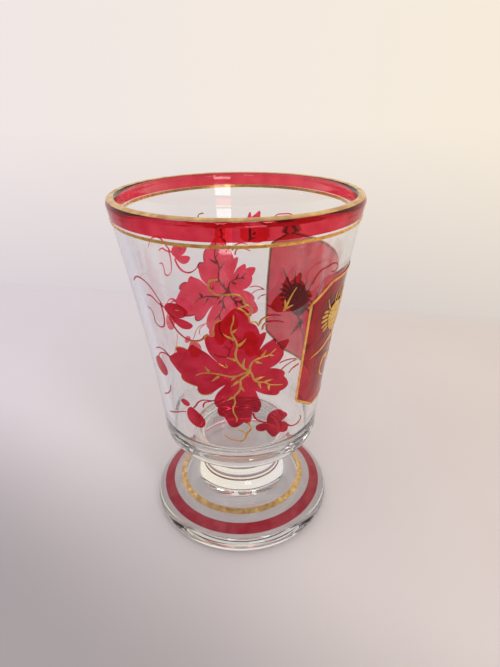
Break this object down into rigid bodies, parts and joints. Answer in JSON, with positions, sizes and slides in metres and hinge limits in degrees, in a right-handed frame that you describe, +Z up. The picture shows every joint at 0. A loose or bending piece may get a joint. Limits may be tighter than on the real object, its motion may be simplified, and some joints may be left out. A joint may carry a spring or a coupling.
{
  "type": "grog glass",
  "caption": "Footed drinking glass with a flared thick-walled bowl, short waisted stem and heavy domed foot, decorated with ruby-stained vine leaves, a wide ruby panel with gold flowers, and lines of gold.",
  "frame": {"origin": "centre of the foot's underside, in the plane of the table", "axes": "+Z up along the glass's axis, -Y towards the front, where the large vine leaf is, +X towards the wide ruby panel"},
  "size_m": [0.0812, 0.0814, 0.126],
  "materials": {
    "clear_glass": "polished",
    "ruby_stain": "polished",
    "gilding": "burnished"
  },
  "bodies": {
    "root": {"bowl": "clear_glass", "stem": "clear_glass", "foot": "clear_glass", "rim_gilding": "gilding", "rim_ruby_band": "ruby_stain", "rim_gold_line": "gilding", "foot_ruby_ring": "ruby_stain", "foot_gold_ring": "gilding", "ruby_panel": "ruby_stain", "panel_border": "gilding", "panel_left_flower": "gilding", "panel_right_flower": "gilding", "front_vine_leaf": "ruby_stain", "front_leaf_veins": "gilding", "front_bud_leaf": "ruby_stain", "front_bud_leaf_vein": "gilding", "front_twin_leaves": "ruby_stain", "front_curled_tendril": "ruby_stain", "front_side_leaf": "ruby_stain", "front_low_spray": "ruby_stain", "front_lower_left_leaves": "ruby_stain", "front_lower_right_leaf": "ruby_stain", "front_bottom_curl": "gilding", "front_top_tendril": "gilding", "front_hair_lines": "ruby_stain", "front_springing_arcs": "ruby_stain", "front_corner_tendril": "ruby_stain", "back_vine_leaf": "ruby_stain", "back_leaf_veins": "gilding", "back_bud_leaf": "ruby_stain", "back_bud_leaf_vein": "gilding", "back_twin_leaves": "ruby_stain", "back_curled_tendril": "ruby_stain", "back_side_leaf": "ruby_stain", "back_low_spray": "ruby_stain", "back_lower_left_leaves": "ruby_stain", "back_lower_right_leaf": "ruby_stain", "back_bottom_curl": "gilding", "back_top_tendril": "gilding", "back_hair_lines": "ruby_stain", "back_springing_arcs": "ruby_stain", "back_corner_tendril": "ruby_stain"}
  },
  "joints": []
}
